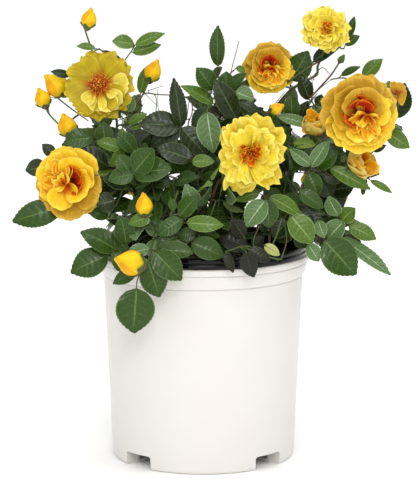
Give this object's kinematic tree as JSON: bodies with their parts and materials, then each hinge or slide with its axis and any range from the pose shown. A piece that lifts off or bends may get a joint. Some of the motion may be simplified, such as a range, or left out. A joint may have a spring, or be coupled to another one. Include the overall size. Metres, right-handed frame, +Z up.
{
  "type": "potted rose bush",
  "caption": "Compact yellow rose bush with fanned canes, open leaf masses, ruffled blooms and buds, growing in a tapered white nursery pot with a black inner pot.",
  "frame": {"origin": "centre of the pot's flat underside, at the level the pot stands on", "axes": "+Z up along the pot's axis, -Y towards the front that shows most open blooms, +X to that front's right"},
  "size_m": [0.3102, 0.2637, 0.3592],
  "materials": {
    "white_pot_plastic": "warm white moulded plastic with a soft gloss",
    "black_pot_plastic": "black moulded plastic, glossy on its beaded lip",
    "potting_mix": "dark brown bark and peat mix, rough and matte",
    "woody_stem": "brown ridged bark",
    "green_cane": "green young cane, satin, with small prickles",
    "rose_leaves": "dark green leaflets with a satin upper side and a paler underside",
    "golden_petals": "soft golden-orange petals, deeper orange at the heart",
    "lemon_petals": "soft lemon-yellow petals, orange-red at the heart",
    "bud_petals": "tight yellow-orange bud petals with green sepals"
  },
  "bodies": {
    "root": {"bloom_back": "lemon_petals", "bloom_back_left": "golden_petals", "bloom_back_right": "golden_petals", "bloom_centre": "lemon_petals", "bloom_left": "golden_petals", "bloom_right": "golden_petals", "bloom_top": "golden_petals", "bloom_top_right": "lemon_petals", "bloom_upper_left": "lemon_petals", "bud_far_left": "bud_petals", "bud_front_left": "bud_petals", "bud_outer_left": "bud_petals", "bud_top_left": "bud_petals", "bud_top_middle": "bud_petals", "cane_back": "green_cane", "cane_back_left": "green_cane", "cane_back_right": "green_cane", "cane_centre": "green_cane", "cane_left_low": "green_cane", "cane_left_middle": "green_cane", "cane_right_low": "green_cane", "cane_right_middle": "green_cane", "cane_top": "green_cane", "cane_upper_left": "green_cane", "cane_upper_right": "green_cane", "inner_pot": "black_pot_plastic", "leaf_hanging_over_rim": "rose_leaves", "leaves_back": "rose_leaves", "leaves_back_left": "rose_leaves", "leaves_back_right": "rose_leaves", "leaves_centre": "rose_leaves", "leaves_front_left": "rose_leaves", "leaves_left_low": "rose_leaves", "leaves_left_middle": "rose_leaves", "leaves_left_tip": "rose_leaves", "leaves_low_back": "rose_leaves", "leaves_low_back_left": "rose_leaves", "leaves_low_back_right": "rose_leaves", "leaves_over_rim": "rose_leaves", "leaves_right_drooping": "rose_leaves", "leaves_right_low": "rose_leaves", "leaves_right_middle": "rose_leaves", "leaves_right_tip": "rose_leaves", "leaves_top_centre": "rose_leaves", "leaves_upper_left": "rose_leaves", "leaves_upper_right": "rose_leaves", "main_stem": "woody_stem", "outer_pot": "white_pot_plastic", "potting_mix": "potting_mix", "stem_back": "green_cane", "stem_back_left": "green_cane", "stem_back_right": "green_cane", "stem_centre": "green_cane", "stem_left": "green_cane", "stem_right": "green_cane", "stem_top": "green_cane", "stem_top_right": "green_cane", "stem_upper_left": "green_cane"}
  },
  "joints": []
}
